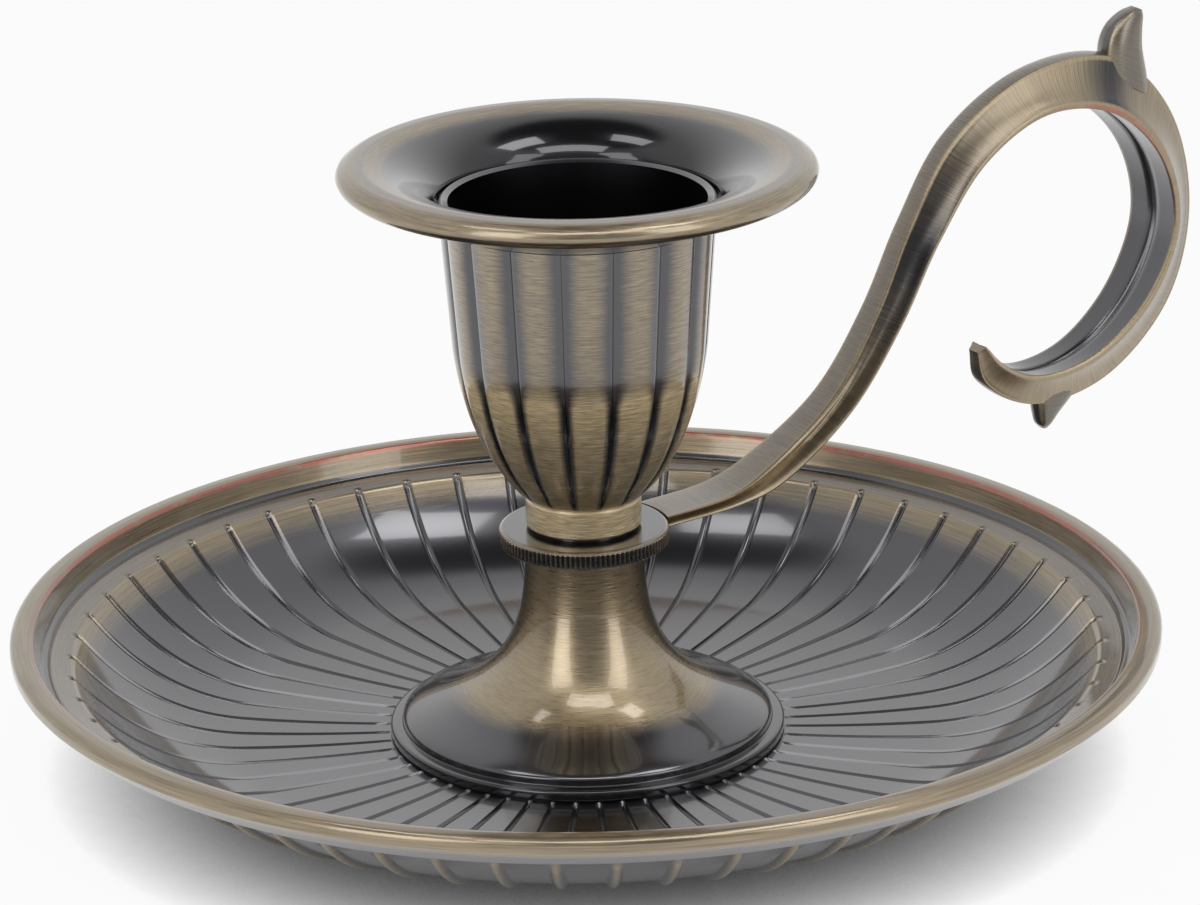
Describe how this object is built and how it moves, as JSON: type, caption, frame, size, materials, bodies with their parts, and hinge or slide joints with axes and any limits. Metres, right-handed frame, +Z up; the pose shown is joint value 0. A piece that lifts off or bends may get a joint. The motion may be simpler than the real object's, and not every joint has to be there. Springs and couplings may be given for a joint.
{
  "type": "candle holder with handle",
  "caption": "Chamber candle holder: ribbed round drip dish, hollow trumpet pedestal, milled collar, fluted candle cup with a wide drip flange, and an S-scroll finger-loop handle",
  "frame": {"origin": "on the candle's axis, at the surface the felt pad stands on", "axes": "+Z up along the candle, +X from the axis out through the handle, +Y to the left when the handle points away"},
  "size_m": [0.1216, 0.1052, 0.0608],
  "materials": {
    "antique_brass": "brushed antique, lacquered",
    "dark_brass": "blackened and polished, lacquered",
    "steel": "zinc plated",
    "felt": "pressed felt"
  },
  "bodies": {
    "root": {"felt_pad": "felt", "dish": "dark_brass", "pedestal": "dark_brass", "milled_collar": "dark_brass", "scroll_handle": "antique_brass", "candle_cup": "antique_brass", "drip_flange": "antique_brass", "tie_bolt": "steel", "cup_washer": "steel", "base_washer": "steel", "base_nut": "steel"}
  },
  "joints": []
}
